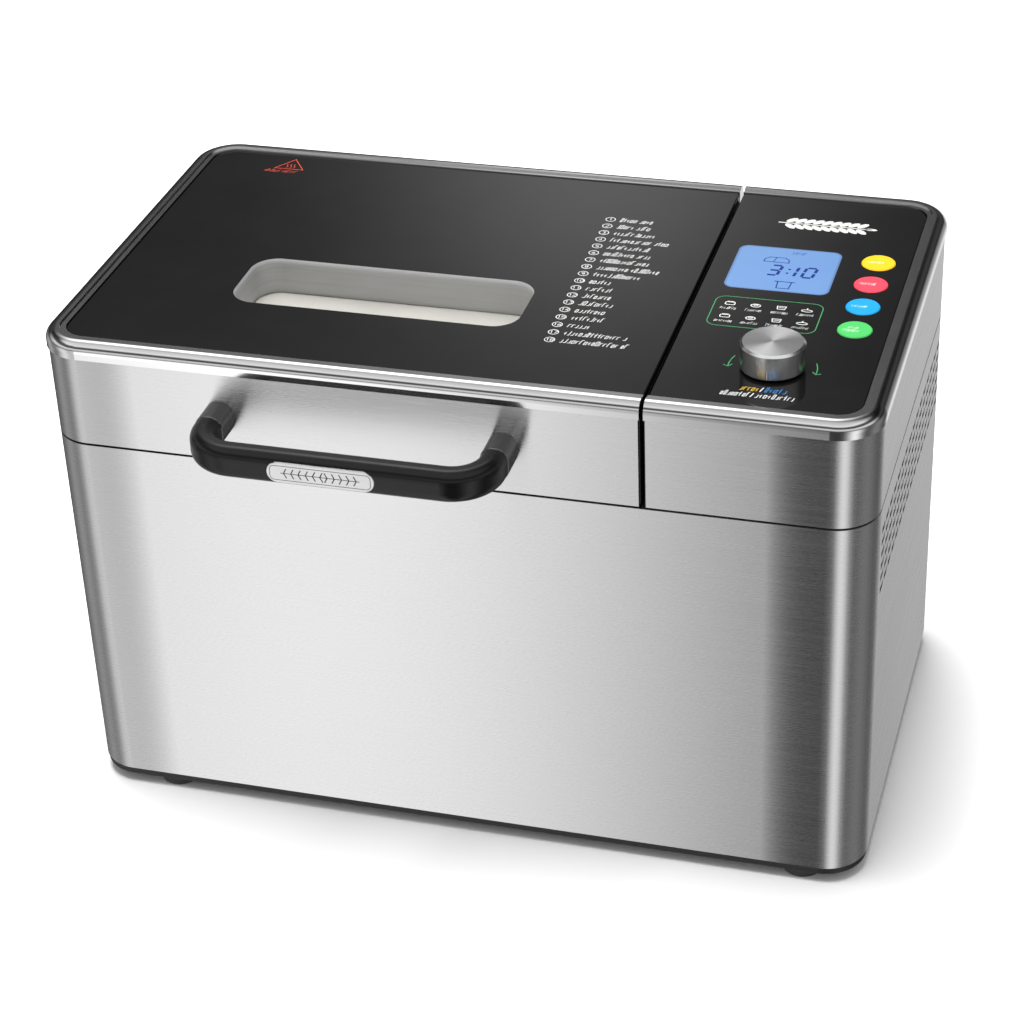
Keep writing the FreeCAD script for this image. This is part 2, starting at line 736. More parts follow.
def make_chamber():
    """The bake box under the deck: a drawn sheet tub with holes for drive, heater and sensor."""
    body = new_body("chamber", pan_x, mid_y, 0)
    wall = d["chamber_wall"]
    length, width, round_ = d["chamber_length"] / 2, d["chamber_width"] / 2, d["chamber_radius"]
    floor = d["chamber_floor"]
    pad_box(body, -length - wall, length + wall, -width - wall, width + wall, floor - wall,
            chamber_top, round_ + wall)
    pad_box(body, -length - 8, length + 8, -width - 8, width + 8, chamber_top - wall, chamber_top,
            round_ + 8)
    cut_box(body, -length, length, -width, width, floor, chamber_top, round_)
    cut_holes(body, [(0, 0)], d["spindle"] + 5.3, floor - wall, floor)
    ends = new_sketch(body, "YZ_Plane", length + 5)
    for y in (-heater_end, heater_end):
        draw_circle(ends, y, heater_z, d["heater_radius"] + 0.5)
    pocket(body, ends, 10)
    probe = new_sketch(body, "XZ_Plane", width + 5)
    draw_circle(probe, sensor_x, sensor_z, 2.9)
    pocket(body, probe, 10)
    return keep(body)


def make_heater():
    """The tubular heater: one loop round the foot of the chamber, both ends out to the right."""
    inset = d["heater_inset"]
    x = float(d["chamber_length"] / 2 - inset)
    y = float(d["chamber_width"] / 2 - inset)
    out = float(d["chamber_length"] / 2) + 16
    cx, cy, z, e = float(pan_x), float(mid_y), float(heater_z), float(heater_end)
    points = [(out, -e), (x, -e), (x, -y), (-x, -y), (-x, y), (x, y), (x, e), (out, e)]
    spots = [(cx + px, cy + py, z) for px, py in points]
    bend = float(d["chamber_radius"] - inset)
    shape = tube(spots, [8, bend, bend, bend, bend, 8], d["heater_radius"])
    return keep(feature_of("heater", shape))


def make_heater_clips():
    """Four pressed rests that hold the heater above the chamber's floor."""
    shapes = []
    top = heater_z - d["heater_radius"] - 0.2
    x = d["chamber_length"] / 2 - d["heater_inset"]
    y = d["chamber_width"] / 2 - d["heater_inset"]
    for px, py in ((-x, 20), (-x, -20), (-50, y), (-50, -y)):
        px, py = float(pan_x + px), float(mid_y + py)
        rest = block(px - 4, px + 4, py - 4, py + 4, d["chamber_floor"], top)
        slit = block(px - 2.8, px + 2.8, py - 2.8, py + 2.8, d["chamber_floor"] - 1, top - 1.2)
        shapes.append(rest.cut(slit))
    return keep(feature_of("heater_clips", solids_of(shapes)))


def make_sensor():
    """The temperature probe through the chamber's front wall."""
    wall_y = mid_y - d["chamber_width"] / 2
    x = float(pan_x + sensor_x)
    probe = rod_y(x, sensor_z, wall_y - 8, wall_y + 8, 2.4)
    collar = rod_y(x, sensor_z, wall_y - d["chamber_wall"] - 2.5, wall_y - d["chamber_wall"] - 0.1, 6)
    return keep(feature_of("temperature_sensor", probe.fuse(collar).removeSplitter()))


def make_pan_seat():
    """The bayonet ring on the chamber's floor, with three inward lugs."""
    x, y, z = pan_x, mid_y, d["chamber_floor"]
    plate = rod(x, y, z, z + 1.2, 42).cut(rod(x, y, z - 1, z + 3, 20))
    ring = rod(x, y, z, z + 10, 34).cut(rod(x, y, z - 1, z + 12, seat_radius))
    shape = plate.fuse(ring)
    for angle in (0, 120, 240):
        shape = shape.fuse(sector(x, y, z + 7.5, z + 10, seat_radius - 3.2, seat_radius + 1, angle, 10))
    return keep(feature_of("pan_seat", shape.removeSplitter()))


# ----------------------------------------------------------------- bread pan
def pan_section(body, level, grow, radius):
    """One level of the pan's outline; grow is added to the pan's lower half sizes."""
    sketch = new_sketch(body, level=level)
    x = d["pan_length"] / 2 - d["pan_taper"] + grow
    y = d["pan_width"] / 2 - d["pan_taper"] + grow
    draw_rectangle(sketch, -x, x, -y, y, radius)
    return sketch


def make_pan():
    """The tapered baking pan, with a rim and an ear for the bail at each end."""
    body = new_body("pan", pan_x, mid_y, 0)
    low, top, wall, taper = d["pan_bottom"], pan_top, d["pan_wall"], d["pan_taper"]
    outer = body.newObject("PartDesign::AdditiveLoft", "pan_outside")
    outer.Profile = pan_section(body, low, 0, d["pan_radius"] - 4)
    outer.Sections = [pan_section(body, top, taper, d["pan_radius"])]
    outer.Ruled = True
    body.Tip = outer
    doc.recompute()
    flange_x = d["pan_length"] / 2 + d["pan_rim"]
    flange_y = d["pan_width"] / 2 + d["pan_rim"]
    pad_box(body, -flange_x, flange_x, -flange_y, flange_y, top - 2, top,
            d["pan_radius"] + d["pan_rim"])
    ear = d["pan_length"] / 2
    for side in (-1, 1):
        sketch = new_sketch(body, level=pivot_z - 7)
        near, far = ear * side - 1.2 * side, ear * side + 3.2 * side
        draw_rectangle(sketch, near if side > 0 else far, far if side > 0 else near, -7, 7)
        pad(body, sketch, 13)
    inner = body.newObject("PartDesign::SubtractiveLoft", "pan_inside")
    inner.Profile = pan_section(body, low + wall, taper * wall / d["pan_height"] - wall,
                                d["pan_radius"] - 4 - wall)
    inner.Sections = [pan_section(body, top, taper - wall, d["pan_radius"] - wall)]
    inner.Ruled = True
    body.Tip = inner
    doc.recompute()
    cut_holes(body, [(0, 0)], 10.3, low, low + wall)
    for side in (-1, 1):
        holes = new_sketch(body, "YZ_Plane", (ear + 5) if side > 0 else (0.6 - ear))
        draw_circle(holes, 0, pivot_z, d["bail_wire"] + d["running"])
        pocket(body, holes, 4.4)
    round_edges(body, 0.8, at_height(top))
    return keep(body)


def make_pan_foot():
    """The ring under the pan, with three lugs that catch under those of the seat."""
    x, y = pan_x, mid_y
    z = d["chamber_floor"] + 1.4
    shape = rod(x, y, z, d["pan_bottom"], foot_ring).cut(rod(x, y, z - 1, d["pan_bottom"] + 1,
                                                             foot_ring - 2))
    for angle in (0, 120, 240):
        lug = sector(x, y, z + 1.6, z + 5.6, foot_ring - 1, foot_ring + 3.2, angle, 10)
        shape = shape.fuse(lug)
    return keep(feature_of("pan_foot", shape.removeSplitter()))


def make_pan_bush():
    """The sealed bush in the pan's floor."""
    floor = d["pan_bottom"] + d["pan_wall"]
    bore = d["spindle"] + d["running"]
    return keep(turned("pan_bush", [
        (bore, d["pan_bottom"] - 2.2), (10, d["pan_bottom"] - 2.2), (10, floor), (13, floor),
        (13, floor + 1.4), (9, floor + 2.8), (bore, floor + 2.8)], pan_x, mid_y, 0))


def make_bail():
    """The pan's wire handle, folded forward over the rim."""
    side = float(d["pan_length"] / 2) + 7.5
    pin = float(d["pan_length"] / 2) + 0.8
    lean = math.radians(bail_lean)
    reach = float(d["bail_reach"])
    cx, cy, z = float(pan_x), float(mid_y), float(pivot_z)
    y, up = cy - reach * math.cos(lean), z + reach * math.sin(lean)
    points = [(cx - pin, cy, z), (cx - side, cy, z), (cx - side, y, up), (cx + side, y, up),
              (cx + side, cy, z), (cx + pin, cy, z)]
    bend = float(d["bail_bend"])
    shape = tube(points, [3.6, bend, bend, 3.6], d["bail_wire"])
    return keep(feature_of("pan_bail", shape))


# ----------------------------------------------------------------- kneading drive
def make_paddle():
    """The kneading paddle: a hub with a blind hole and one sweeping blade."""
    x, y = float(pan_x), float(mid_y)
    z = float(d["pan_bottom"] + d["pan_wall"]) + 3.4
    low = z - 1.8
    reach = float(d["blade_reach"])
    corners = [(0, z), (14.5, z), (14.5, low), (reach - 4, low), (reach, low + 6),
               (reach - 2, low + 14), (reach - 16, low + 25), (0, low + 27)]
    outline = Part.makePolygon([Vector(x + px, y - 2, pz) for px, pz in corners + corners[:1]])
    blade = Part.Face(outline).extrude(Vector(0, 4, 0))
    hub = Part.makeCone(10, 8.5, 27, Vector(x, y, z))
    hub = hub.makeFillet(1.5, [e for e in hub.Edges if e.BoundBox.ZMin > z + 26])
    bore = rod(x, y, z - 1, z + 24, d["spindle"] + d["running"])
    return keep(feature_of("kneading_paddle", blade.fuse(hub).cut(bore).removeSplitter()))


def dog_wings(z0, z1, first):
    """Two opposite wings of the coupling."""
    return [sector(pan_x, mid_y, z0, z1, 6, 14, first + turn, 50) for turn in (0, 180)]


def make_paddle_shaft():
    """The shaft through the pan's floor, with the driven half of the coupling under it."""
    low = driven_low
    shape = rod(pan_x, mid_y, low, d["pan_bottom"] + d["pan_wall"] + 25, d["spindle"])
    shape = shape.fuse(rod(pan_x, mid_y, low, low + 2.6, 14))
    for wing in dog_wings(low - 4.4, low, 90):
        shape = shape.fuse(wing)
    return keep(feature_of("paddle_shaft", shape.removeSplitter()))


def make_drive_dog():
    """The driving half of the coupling."""
    low = dog_low
    shape = rod(pan_x, mid_y, low, low + 2.5, 14)
    for wing in dog_wings(low + 2.5, low + 6.9, 0):
        shape = shape.fuse(wing)
    shape = shape.cut(rod(pan_x, mid_y, low - 1, low + 10, d["spindle"] + d["running"]))
    return keep(feature_of("drive_dog", shape.removeSplitter()))


def make_drive_shaft():
    """The spindle between the driven pulley and the coupling."""
    return keep(feature_of("drive_shaft", rod(pan_x, mid_y, shaft_low, dog_low + 4.5, d["spindle"])))


def make_bearing():
    """The bearing housing bolted under the chamber's floor."""
    bore = d["spindle"] + d["running"]
    under = d["chamber_floor"] - d["chamber_wall"]
    return keep(turned("bearing_housing", [
        (bore, belt_top + 2.6), (9, belt_top + 2.6), (9, under - 8), (14, under - 4),
        (30, under - 4), (30, under), (9, under), (9, d["chamber_floor"] + 3),
        (bore, d["chamber_floor"] + 3)], pan_x, mid_y, 0))


def make_drive_pulley():
    """The large flanged pulley."""
    r, low, top = d["pulley_big"] - d["belt_gap"], d["belt_low"], belt_top
    bore = d["spindle"] + d["running"]
    return keep(turned("drive_pulley", [
        (bore, low - 1.5), (9, low - 1.5), (9, low + 3), (r - 5, low + 3), (r - 5, low - 1.5),
        (r + 3, low - 1.5), (r + 3, low), (r, low), (r, top), (r + 3, top), (r + 3, top + 1.5),
        (r - 5, top + 1.5), (r - 5, low + 7), (9, low + 7), (9, top + 1.5), (bore, top + 1.5)],
        pan_x, mid_y, 0))


def make_motor_pulley():
    """The small flanged pulley on the motor's shaft."""
    r, low, top = d["pulley_small"] - d["belt_gap"], d["belt_low"], belt_top
    bore = Size(motor_shaft, "%.6f" % motor_shaft) + d["running"]
    return keep(turned("motor_pulley", [
        (bore, low - 1.5), (r + 3, low - 1.5), (r + 3, low), (r, low), (r, top), (r + 3, top),
        (r + 3, top + 1.5), (bore, top + 1.5)], d["motor_x"], mid_y, 0))


def make_belt():
    """The belt, drawn tight round both pulleys."""
    big, small = float(d["pulley_big"]), float(d["pulley_small"])
    x0, x1, y = float(pan_x), float(d["motor_x"]), float(mid_y)
    z = float(d["belt_low"]) + 0.2
    tall = float(d["belt_width"]) - 0.4

    def loop(extra):
        r0, r1 = big + extra, small + extra
        lean = math.acos((r0 - r1) / (x1 - x0))

        def spot(cx, r, angle):
            return Vector(cx + r * math.cos(angle), y + r * math.sin(angle), z)
        edges = [
            Part.LineSegment(spot(x0, r0, lean), spot(x1, r1, lean)).toShape(),
            Part.Arc(spot(x1, r1, lean), spot(x1, r1, 0), spot(x1, r1, -lean)).toShape(),
            Part.LineSegment(spot(x1, r1, -lean), spot(x0, r0, -lean)).toShape(),
            Part.Arc(spot(x0, r0, -lean), spot(x0, r0, math.pi), spot(x0, r0, lean)).toShape(),
        ]
        return Part.Face(Part.Wire(edges))
    band = loop(float(d["belt_thickness"])).cut(loop(0.0))
    return keep(feature_of("belt", band.extrude(Vector(0, 0, tall))))


def make_motor_case():
    """The motor's can, hollow for its rotor."""
    low, top = motor_low, motor_low + d["motor_height"]
    bore = Size(motor_shaft, "%.6f" % motor_shaft) + d["running"]
    body = turned("motor_case", [
        (bore, low), (d["motor_radius"], low), (d["motor_radius"], top), (bore, top),
        (bore, top - 3), (26, top - 3), (26, low + 3), (bore, low + 3)], d["motor_x"], mid_y, 0)
    round_edges(body, 3, lambda e: e.BoundBox.ZMin > float(top) - 1e-3 and e.BoundBox.XLength > 60)
    return keep(body)


def make_motor_rotor():
    """The rotor and its shaft, which carries the small pulley below."""
    low = motor_low
    shaft = rod(d["motor_x"], mid_y, d["belt_low"] - 2, low + d["motor_height"] + 3, motor_shaft)
    core = rod(d["motor_x"], mid_y, low + 6, low + d["motor_height"] - 6, 25)
    return keep(feature_of("motor_rotor", shaft.fuse(core).removeSplitter()))


def make_motor_bracket():
    """The plate that carries the motor, on four legs."""
    body = new_body("motor_bracket", d["motor_x"], mid_y, 0)
    half = d["motor_radius"] + 2
    pad_box(body, -half, half, -half, half, motor_low - 3, motor_low, 6)
    cut_holes(body, [(0, 0)], 12, motor_low - 3, motor_low)
    legs = new_sketch(body, level=steel_low)
    spot = half - 6
    for x, y in ((-spot, -spot), (spot, -spot), (spot, spot), (-spot, spot)):
        draw_circle(legs, x, y, 4.5)
    pad(body, legs, motor_low - 3 - steel_low)
    return keep(body)


# ----------------------------------------------------------------- electrics in the body
def make_power_board():
    """The power board on its pegs."""
    body = new_body("power_board", power_x, mid_y + power_y, 0)
    pad_box(body, -47, 47, -21, 21, power_low, power_low + d["board_thickness"])
    return keep(body)


def make_power_parts():
    """What stands on the power board: capacitor, relay, transformer and terminals."""
    z = float(power_low + d["board_thickness"])
    x, y = float(power_x), float(mid_y + power_y)
    can = Part.makeCylinder(9, 28, Vector(x - 34, y + 4, z))
    can = can.makeFillet(1.2, [e for e in can.Edges if e.BoundBox.ZMin > z + 27])
    relay = block(x - 18, x - 2, y - 12, y + 16, z, z + 18)
    core = block(x + 4, x + 26, y - 14, y + 14, z, z + 20)
    terminals = block(x + 31, x + 43, y - 16, y + 16, z, z + 11)
    for k in range(4):
        terminals = terminals.cut(rod(x + 37, y - 12 + 8 * k, z + 5, z + 12, 2.4))
    return keep(feature_of("power_parts", solids_of([can, relay, core, terminals])))


# ----------------------------------------------------------------- control head and lid, outside
def make_skirt(label, lid):
    """The brushed band of the lid or of the head, open toward the split."""
    body = new_body(label, 0, mid_y, 0)
    short = d["split_flange"] / 3
    x0 = -half_width if lid else head_left + short
    x1 = lid_right - short if lid else half_width
    flat = ("right",) if lid else ("left",)
    steel, round_ = d["steel"], d["corner_radius"]
    pad_box(body, x0, x1, -half_depth, half_depth, skirt_low, d["rim_line"], round_, flat)
    cut_box(body, x0 + steel if lid else x0 - 1, x1 + 1 if lid else x1 - steel,
            steel - half_depth, half_depth - steel, skirt_low, d["rim_line"], round_ - steel, flat)
    return keep(body)


def make_rim(label, lid):
    """The polished rim: a rounded shoulder, a crease and a narrow inner band."""
    body = new_body(label, 0, mid_y, 0)
    out = d["rim_proud"]
    x0 = -half_width - out if lid else head_left
    x1 = lid_right if lid else half_width + out
    flat = ("right",) if lid else ("left",)
    round_ = d["corner_radius"]
    pad_box(body, x0, x1, -half_depth - out, half_depth + out, d["rim_line"], crest_z,
            round_ + out, flat)
    cut_edge = float(lid_right if lid else head_left)

    def top_edge(edge):
        box = edge.BoundBox
        on_split = abs(box.XMin - cut_edge) < 1e-3 and abs(box.XMax - cut_edge) < 1e-3
        return abs(box.ZMin - float(crest_z)) < 1e-3 and not on_split
    round_edges(body, d["rim_width"] * 0.58, top_edge)
    crease = d["rim_width"] - 3
    cut_box(body, crease - half_width if lid else x0 - 1, x1 + 1 if lid else half_width - crease,
            crease - half_depth, half_depth - crease, crest_z - 0.8, crest_z, round_ - crease, flat)
    inn = d["rim_width"]
    cut_box(body, inn - half_width if lid else x0 - 1, x1 + 1 if lid else half_width - inn,
            inn - half_depth, half_depth - inn, d["rim_line"], crest_z, round_ - inn, flat)
    return keep(body)


def glass_outline(body, lid, z0, z1):
    """The block that the glass of the lid or of the head fills."""
    inn = d["rim_width"] + d["slip"]
    x0 = inn - half_width if lid else head_left + 0.2
    x1 = lid_right - 0.2 if lid else half_width - inn
    pad_box(body, x0, x1, inn - half_depth, half_depth - inn, z0, z1, d["corner_radius"] - inn,
            ("right",) if lid else ("left",))


def make_lid_glass():
    """The lid's glass."""
    body = new_body("lid_glass", 0, mid_y, 0)
    glass_outline(body, True, glass_low, d["glass_top"])
    round_edges(body, 0.4, at_height(d["glass_top"]), "PartDesign::Chamfer")
    return keep(body)


def make_head_glass():
    """The head's glass, bored for the keys and the dial's shaft."""
    body = new_body("head_glass", 0, mid_y, 0)
    glass_outline(body, False, glass_low, d["glass_top"])
    round_edges(body, 0.4, at_height(d["glass_top"]), "PartDesign::Chamfer")
    cut_holes(body, key_spots(), d["key_radius"] + d["key_gap"], glass_low, d["glass_top"])
    cut_holes(body, [(d["dial_x"], d["dial_y"])], d["shaft_radius"] + 1, glass_low, d["glass_top"])
    return keep(body)


def key_spots():
    """Places of the keys, from the middle of the housing, rearmost first."""
    return [(d["key_x"], d["key_first_y"] - d["key_pitch"] * k) for k in range(4)]


def make_frame(label, lid):
    """The plastic frame inside a skirt: walls, a wall at the split and a ledge for the glass."""
    body = new_body(label, 0, mid_y, 0)
    out = d["steel"] + d["slip"]
    wall = d["frame_wall"]
    inn = out + wall
    low = frame_low if lid else shell_top
    flat = ("right",) if lid else ("left",)
    round_ = d["corner_radius"]
    x0 = out - half_width if lid else head_left
    x1 = lid_right if lid else half_width - out
    pad_box(body, x0, x1, out - half_depth, half_depth - out, low, d["rim_line"], round_ - out, flat)
    hollow_x0 = inn - half_width if lid else head_left + wall
    hollow_x1 = lid_right - wall if lid else half_width - inn
    cut_box(body, hollow_x0, hollow_x1, inn - half_depth, half_depth - inn, low, carrier_low,
            round_ - inn, flat)
    edge = d["rim_width"] + d["slip"]
    seat_x0 = edge - half_width if lid else head_left
    seat_x1 = lid_right if lid else half_width - edge
    pad_box(body, seat_x0, seat_x1, edge - half_depth, half_depth - edge, d["rim_line"], ledge_top,
            round_ - edge, flat)
    ledge = d["rim_width"] + d["frame_ledge"] * 0.4
    side = wall + 2
    cut_x0 = ledge - half_width if lid else head_left + side
    cut_x1 = lid_right - side if lid else half_width - ledge
    depth = carrier_low if lid else carrier_top
    cut_box(body, cut_x0, cut_x1, ledge - half_depth, half_depth - ledge, depth, ledge_top, 6)
    return body


def make_lid_frame():
    """The lid's inner frame."""
    return keep(make_frame("lid_frame", True))


def make_head_frame():
    """The head's inner frame; its top is the carrier of display, keys and dial."""
    body = make_frame("head_frame", False)
    room = 1.0
    x, y = d["lcd_length"] / 2 + 2 + room, d["lcd_width"] / 2 + 2 + room
    cut_box(body, d["lcd_x"] - x, d["lcd_x"] + x, d["lcd_y"] - y, d["lcd_y"] + y, carrier_low,
            carrier_top)
    cut_holes(body, key_spots(), 3.3, carrier_low, carrier_top)
    cut_holes(body, [(d["dial_x"], d["dial_y"])], d["shaft_radius"] + 1, carrier_low, carrier_top)
    pegs = new_sketch(body, level=board_top)
    for px, py in board_corners():
        draw_circle(pegs, px, py, 3)
    pad(body, pegs, carrier_low - board_top)
    return keep(body)


def board_corners():
    """Places where the control board is held."""
    x0, x1 = head_left + 12, half_width - 20
    y0, y1 = d["board_front"] + 8 - half_depth, half_depth - d["board_back"] - 8
    return [(x0, y1), (x1, y1), (x1, y0), (x0, y0)]


# ----------------------------------------------------------------- control head, inside
def make_display():
    """The backlit display under the glass."""
    body = new_body("display", d["lcd_x"], mid_y + d["lcd_y"], 0)
    x, y = d["lcd_length"] / 2 + 2, d["lcd_width"] / 2 + 2
    pad_box(body, -x, x, -y, y, board_top, ledge_top - 0.3, 1.5)
    return keep(body)


def make_control_board():
    """The board that carries display, key switches and encoder."""
    body = new_body("control_board", 0, mid_y, 0)
    pad_box(body, head_left + 6, half_width - 12, d["board_front"] - half_depth,
            half_depth - d["board_back"], board_low, board_top, 4)
    return keep(body)


def make_key_switches():
    """The four switches under the keys."""
    shapes = []
    for x, y in key_spots():
        x, y = float(x), float(mid_y + y)
        top = float(key_stem_low) - 0.1
        case = block(x - 3, x + 3, y - 3, y + 3, board_top, top - 0.8)
        shapes.append(case.fuse(rod(x, y, top - 1.0, top - float(d["key_travel"]), 1.7)).removeSplitter())
    return keep(feature_of("key_switches", solids_of(shapes)))


def make_key(number, x, y):
    """One round key: cap, retaining flange and stem."""
    top = d["glass_top"] + d["key_proud"]
    under = top - d["key_thickness"]
    flange = d["key_radius"] + d["key_flange"]
    r = d["key_radius"]
    return keep(turned("key_%d" % number, [
        (0, key_stem_low), (2.9, key_stem_low), (2.9, under - 1.4), (flange, under - 1.4),
        (flange, under), (r, under), (r, top - 0.4), (r - 0.4, top), (0, top)], x, mid_y + y, 0))


def make_encoder():
    """The rotary encoder's case on the board."""
    x, y = float(d["dial_x"]), float(mid_y + d["dial_y"])
    case = block(x - 7, x + 7, y - 7, y + 7, board_top, carrier_low - 0.3)
    case = case.cut(rod(x, y, board_top - 1, carrier_low, plunger_radius + 0.06))
    return keep(feature_of("dial_encoder", case))


def make_plunger():
    """The encoder's plunger, which the dial pushes down with its shaft."""
    x, y = d["dial_x"], mid_y + d["dial_y"]
    low = board_top + d["dial_travel"] + 0.1
    ring = rod(x, y, low, low + 2.6, plunger_radius)
    return keep(feature_of("dial_plunger", ring.cut(rod(x, y, low - 1, low + 4,
                                                        d["shaft_radius"] + d["running"]))))


def make_dial_shaft():
    """The dial's shaft."""
    low = board_top + d["dial_travel"] + 0.1
    top = d["glass_top"] + d["dial_lift"] + d["dial_height"] - 3
    return keep(feature_of("dial_shaft", rod(d["dial_x"], mid_y + d["dial_y"], low, top,
                                             d["shaft_radius"])))


def make_dial():
    """The turned metal dial."""
    low = d["glass_top"] + d["dial_lift"]
    top = low + d["dial_height"]
    bore = d["shaft_radius"] + d["running"]
    r = d["dial_radius"]
    return keep(turned("dial", [
        (bore, low), (r - 0.5, low), (r, low + 0.5), (r, top - 1.1), (r - 1.1, top), (0, top),
        (0, top - 2.6), (bore, top - 2.6)], d["dial_x"], mid_y + d["dial_y"], 0))


# ----------------------------------------------------------------- lid, inside
def make_lining():
    """The lid's inner lining: a flange with a raised roof over the chamber."""
    body = new_body("lid_lining", 0, mid_y, 0)
    edge = d["steel"] + d["slip"] * 2 + d["frame_wall"]
    plate = d["liner_plate"]
    pad_box(body, edge - half_width, lid_right - d["frame_wall"] - d["slip"], edge - half_depth,
            half_depth - edge, liner_low, liner_low + plate, d["corner_radius"] - edge, ("right",))
    x, y = d["liner_length"] / 2, d["liner_width"] / 2
    pad_box(body, pan_x - x - plate, pan_x + x + plate, -y - plate, y + plate, liner_low, pane_low, 22)
    cut_box(body, pan_x - x, pan_x + x, -y, y, liner_low, d["liner_ceiling"], 20)
    window_block(body, cut_box, 0, d["liner_ceiling"], pane_low)
    return keep(body)


def window_block(body, action, grow, z0, z1):
    """Adds or cuts a block with the window's outline."""
    x, y = d["window_length"] / 2 + grow, d["window_width"] / 2 + grow
    action(body, pan_x - x, pan_x + x, d["window_shift_y"] - y, d["window_shift_y"] + y, z0, z1,
           d["window_radius"] + grow)


def make_pane():
    """The inner pane, on the lining's roof."""
    body = new_body("window_pane", 0, mid_y, 0)
    window_block(body, pad_box, d["collar_foot"], pane_low, collar_low)
    return keep(body)


def make_collar():
    """The metal collar between the inner pane and the glass."""
    body = new_body("window_collar", 0, mid_y, 0)
    window_block(body, pad_box, d["collar_foot"], collar_low, collar_low + 1)
    window_block(body, pad_box, d["collar_wall"], collar_low, ledge_top)
    window_block(body, cut_box, 0, collar_low, ledge_top)
    return keep(body)


def make_seal():
    """The silicone seal round the chamber's mouth."""
    body = new_body("lid_seal", pan_x, mid_y, 0)
    inset, wide = d["seal_inset"], d["seal_width"]
    x, y = d["chamber_length"] / 2 + inset, d["chamber_width"] / 2 + inset
    low = shell_top + d["seal_gap"]
    round_ = d["chamber_radius"] + inset
    pad_box(body, -x - wide, x + wide, -y - wide, y + wide, low, liner_low, round_ + wide)
    cut_box(body, -x, x, -y, y, low, liner_low, round_)
    return keep(body)


# ----------------------------------------------------------------- handle
def grip_section(x, y, z, grow=0.0):
    """The handle's section where it starts from a post: an upright rounded bar."""
    w, t = float(d["grip_depth"]) / 2 + grow, float(d["grip_height"]) / 2 + grow
    r = w * 0.86
    k = r * math.sqrt(0.5)

    def at(u, v):
        return Vector(x + u, y, z + v)
    edges = []
    edges.append(Part.LineSegment(at(-w + r, -t), at(w - r, -t)).toShape())
    edges.append(Part.Arc(at(w - r, -t), at(w - r + k, -t + r - k), at(w, -t + r)).toShape())
    edges.append(Part.LineSegment(at(w, -t + r), at(w, t - r)).toShape())
    edges.append(Part.Arc(at(w, t - r), at(w - r + k, t - r + k), at(w - r, t)).toShape())
    edges.append(Part.LineSegment(at(w - r, t), at(-w + r, t)).toShape())
    edges.append(Part.Arc(at(-w + r, t), at(-w + r - k, t - r + k), at(-w, t - r)).toShape())
    edges.append(Part.LineSegment(at(-w, t - r), at(-w, -t + r)).toShape())
    edges.append(Part.Arc(at(-w, -t + r), at(-w + r - k, -t + r - k), at(-w + r, -t)).toShape())
    return Part.Wire(edges)


def handle_ends():
    """Places of the two posts, from left to right."""
    middle = float(d["handle_shift"])
    half = float(d["post_spacing"]) / 2
    return middle - half, middle + half


def make_posts():
    """The two metal posts between lid and grip."""
    shapes = []
    y = float(front)
    for x in handle_ends():
        section = Part.Face(grip_section(x, y, float(d["handle_z"]), 0.3))
        post = section.extrude(Vector(0, -float(d["post_length"]), 0))
        rounded = [e for e in post.Edges if e.BoundBox.YMax < y - float(d["post_length"]) + 1e-3]
        shapes.append(post.makeFillet(0.5, rounded))
    return keep(feature_of("handle_posts", solids_of(shapes)))


def plate_shape(length, height, y0, y1):
    """A flat plate with round ends that faces forward."""
    x, z = float(d["handle_shift"] + d["badge_shift"]), float(d["handle_z"])
    r = float(height) / 2
    half = float(length) / 2 - r
    bar = block(x - half, x + half, y0, y1, z - r, z + r)
    ends = [rod_y(x - half, z, y0, y1, r), rod_y(x + half, z, y0, y1, r)]
    return bar.fuse(ends).removeSplitter()


def make_grip():
    """The grip: one bar bent round both corners, with a seat for the plate."""
    x0, x1 = handle_ends()
    y0 = float(front - d["post_length"])
    y1 = float(front - d["grip_reach"])
    z = float(d["handle_z"])
    bend = float(d["grip_bend"])
    path = path_wire([(x0, y0, z), (x0, y1, z), (x1, y1, z), (x1, y0, z)], [bend, bend])
    shape = path.makePipeShell([grip_section(x0, y0, z)], True, False)
    face = float(front - grip_front)
    seat = plate_shape(d["badge_length"] + 0.2, d["badge_height"] + 0.2, face - 3,
                       face + float(d["badge_thickness"] + 0.2))
    return keep(feature_of("handle_grip", shape.cut(seat)))


def make_plate():
    """The plain metal plate let into the grip."""
    face = float(front - grip_front)
    shape = plate_shape(d["badge_length"], d["badge_height"], face,
                        face + float(d["badge_thickness"] + 0.2))
    edge = [e for e in shape.Edges if e.BoundBox.YMax < face + 1e-3]
    return keep(feature_of("handle_plate", shape.makeChamfer(0.25, edge)))


# ----------------------------------------------------------------- lid hinge
def hinge_middles():
    """Places of the two hinges along X."""
    half = float(d["hinge_spread"]) / 2
    return float(pan_x) - half, float(pan_x) + half


